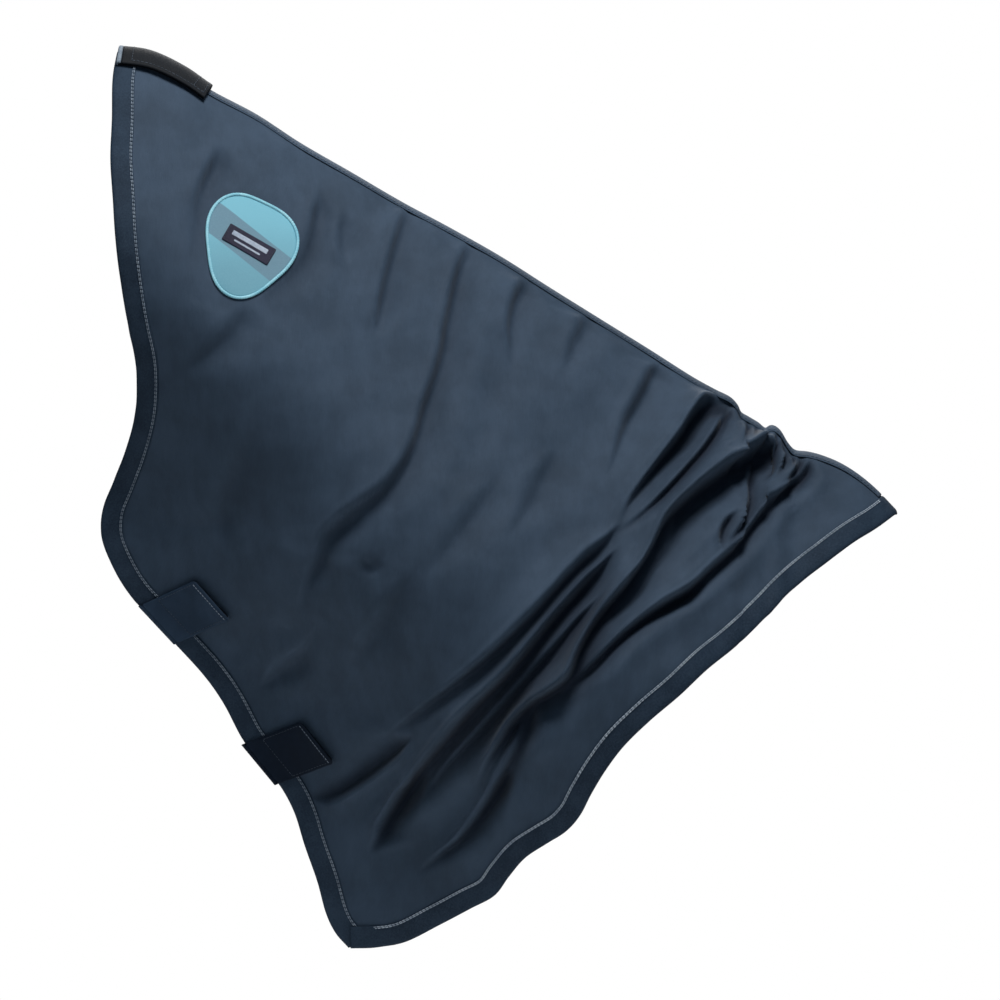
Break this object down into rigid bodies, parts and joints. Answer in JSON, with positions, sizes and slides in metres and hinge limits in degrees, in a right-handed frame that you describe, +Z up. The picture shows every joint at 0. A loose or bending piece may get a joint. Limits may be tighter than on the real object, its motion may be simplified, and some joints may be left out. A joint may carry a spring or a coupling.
{
  "type": "turnout rug neck cover",
  "caption": "Horse's turnout neck cover: two lined cloth sides joined at the crest, touch-tape tabs under the neck, a poll strap, and snap hooks that fasten it to a rug.",
  "frame": {"origin": "on the crest seam, about two fifths of the way from the poll end, where the neck carries the cover", "axes": "+Z up, +X towards the horse's tail, -Y is the horse's near (left) side; the horse faces -X"},
  "size_m": [0.8391, 0.3496, 0.9431],
  "materials": {
    "outer_cloth": "navy woven polyester, matt",
    "lining_cloth": "dark smooth woven lining",
    "binding_tape": "dark navy folded binding",
    "touch_tape": "near-black touch tape",
    "webbing": "near-black woven webbing",
    "elastic": "dark covered elastic",
    "badge_cloth": "teal satin weave",
    "badge_cord": "light teal overlocked edge",
    "label_weave": "dark woven label with plain bars",
    "zinc": "satin cast zinc"
  },
  "bodies": {
    "cover": {"near_side_outer": "outer_cloth", "near_side_lining": "lining_cloth", "near_front_binding": "binding_tape", "near_rear_binding": "binding_tape", "off_side_outer": "outer_cloth", "off_side_lining": "lining_cloth", "off_front_binding": "binding_tape", "off_rear_binding": "binding_tape", "crest_seam_tape": "binding_tape", "withers_elastic": "elastic", "poll_strap_base": "touch_tape", "throat_tab_base": "outer_cloth", "throat_loop_tape": "touch_tape", "chest_tab_base": "outer_cloth", "chest_loop_tape": "touch_tape", "badge": "badge_cloth", "badge_edge_cord": "badge_cord", "badge_label": "label_weave", "near_clip_patch": "webbing", "off_clip_patch": "webbing", "withers_clip_patch": "webbing"},
    "throat_flap": {"throat_tab_flap": "outer_cloth", "throat_tab_hook_tape": "touch_tape"},
    "chest_flap": {"chest_tab_flap": "outer_cloth", "chest_tab_hook_tape": "touch_tape"},
    "poll_flap": {"poll_strap_flap": "webbing"},
    "near_strap": {"near_clip_strap": "webbing"},
    "near_hook": {"near_clip_hook": "zinc", "near_clip_gate_pin": "zinc"},
    "near_gate": {"near_clip_gate": "zinc"},
    "off_strap": {"off_clip_strap": "webbing"},
    "off_hook": {"off_clip_hook": "zinc", "off_clip_gate_pin": "zinc"},
    "off_gate": {"off_clip_gate": "zinc"},
    "withers_strap": {"withers_clip_strap": "webbing"},
    "withers_hook": {"withers_clip_hook": "zinc", "withers_clip_gate_pin": "zinc"},
    "withers_gate": {"withers_clip_gate": "zinc"}
  },
  "joints": [
    {"name": "throat_flap_hinge", "type": "hinge", "parent": "cover", "child": "throat_flap", "pos_m": [-0.28174, -0.01472, -0.43591], "axis": [0.6317, 0, -0.7752], "range_deg": [0, 150]},
    {"name": "chest_flap_hinge", "type": "hinge", "parent": "cover", "child": "chest_flap", "pos_m": [-0.17577, -0.01471, -0.57962], "axis": [0.6099, 0, -0.7925], "range_deg": [0, 150]},
    {"name": "poll_flap_hinge", "type": "hinge", "parent": "cover", "child": "poll_flap", "pos_m": [-0.3199, 0, 0.16751], "axis": [0, -1, 0], "range_deg": [0, 150]},
    {"name": "near_strap_swing", "type": "hinge", "parent": "cover", "child": "near_strap", "pos_m": [0.22375, -0.11599, -0.36967], "axis": [0.9732, 0.2299, 0], "range_deg": [0, 45]},
    {"name": "near_hook_swing", "type": "hinge", "parent": "near_strap", "child": "near_hook", "pos_m": [0.22375, -0.11599, -0.42167], "axis": [0.9732, 0.2299, 0], "range_deg": [-15, 60]},
    {"name": "near_gate_hinge", "type": "hinge", "parent": "near_hook", "child": "near_gate", "pos_m": [0.23114, -0.11424, -0.43727], "axis": [-0.2299, 0.9732, 0], "range_deg": [0, 25], "stiffness_Nm_per_rad": 0.02, "springref_deg": -11.46},
    {"name": "off_strap_swing", "type": "hinge", "parent": "cover", "child": "off_strap", "pos_m": [0.22375, 0.11599, -0.36967], "axis": [-0.9732, 0.2299, 0], "range_deg": [0, 45]},
    {"name": "off_hook_swing", "type": "hinge", "parent": "off_strap", "child": "off_hook", "pos_m": [0.22375, 0.11599, -0.42167], "axis": [-0.9732, 0.2299, 0], "range_deg": [-15, 60]},
    {"name": "off_gate_hinge", "type": "hinge", "parent": "off_hook", "child": "off_gate", "pos_m": [0.23114, 0.11424, -0.43727], "axis": [0.2299, 0.9732, 0], "range_deg": [0, 25], "stiffness_Nm_per_rad": 0.02, "springref_deg": -11.46},
    {"name": "withers_strap_swing", "type": "hinge", "parent": "cover", "child": "withers_strap", "pos_m": [0.42125, 0, -0.27126], "axis": [0, 1, 0], "range_deg": [-25, 25]},
    {"name": "withers_hook_swing", "type": "hinge", "parent": "withers_strap", "child": "withers_hook", "pos_m": [0.42125, 0, -0.30127], "axis": [0, 1, 0], "range_deg": [-40, 40]},
    {"name": "withers_gate_hinge", "type": "hinge", "parent": "withers_hook", "child": "withers_gate", "pos_m": [0.42125, 0.00759, -0.31687], "axis": [-1, 0, 0], "range_deg": [0, 25], "stiffness_Nm_per_rad": 0.02, "springref_deg": -11.46}
  ]
}
